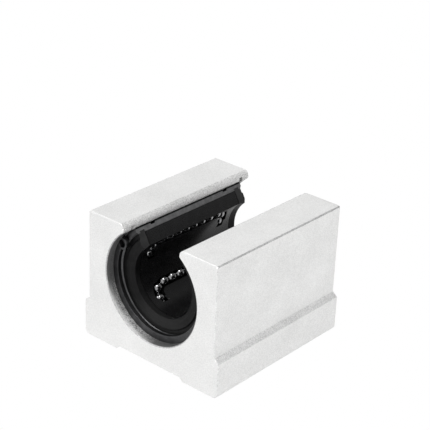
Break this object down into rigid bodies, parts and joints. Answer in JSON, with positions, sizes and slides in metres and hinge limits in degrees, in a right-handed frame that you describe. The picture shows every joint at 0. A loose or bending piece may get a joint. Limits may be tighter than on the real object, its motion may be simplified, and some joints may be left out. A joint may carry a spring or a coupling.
{
  "type": "linear bearing block",
  "caption": "Aluminium block, open along the top, with an open ball bush for a round supported shaft; screws on from below through its flat foot.",
  "frame": {"origin": "middle of the mounting face, half way along the block", "axes": "+Y along the shaft, +X across the block, +Z from the mounting face to the opening; -Y is called the front"},
  "size_m": [0.048, 0.05, 0.0378],
  "materials": {
    "housing": "satin",
    "sleeve": "satin",
    "retainer": "satin",
    "seal": "matte",
    "snap_ring": "satin",
    "set_screw": "satin",
    "ball": "polished"
  },
  "bodies": {
    "root": {"housing": "housing", "bush_sleeve": "sleeve", "ball_retainer": "retainer", "front_seal": "seal", "rear_seal": "seal", "front_snap_ring": "snap_ring", "rear_snap_ring": "snap_ring", "set_screw": "set_screw", "circuit_1_loaded_balls": "ball", "circuit_1_front_turn_balls": "ball", "circuit_1_return_balls": "ball", "circuit_1_rear_turn_balls": "ball", "circuit_2_loaded_balls": "ball", "circuit_2_front_turn_balls": "ball", "circuit_2_return_balls": "ball", "circuit_2_rear_turn_balls": "ball", "circuit_3_loaded_balls": "ball", "circuit_3_front_turn_balls": "ball", "circuit_3_return_balls": "ball", "circuit_3_rear_turn_balls": "ball", "circuit_4_loaded_balls": "ball", "circuit_4_front_turn_balls": "ball", "circuit_4_return_balls": "ball", "circuit_4_rear_turn_balls": "ball"}
  },
  "joints": []
}
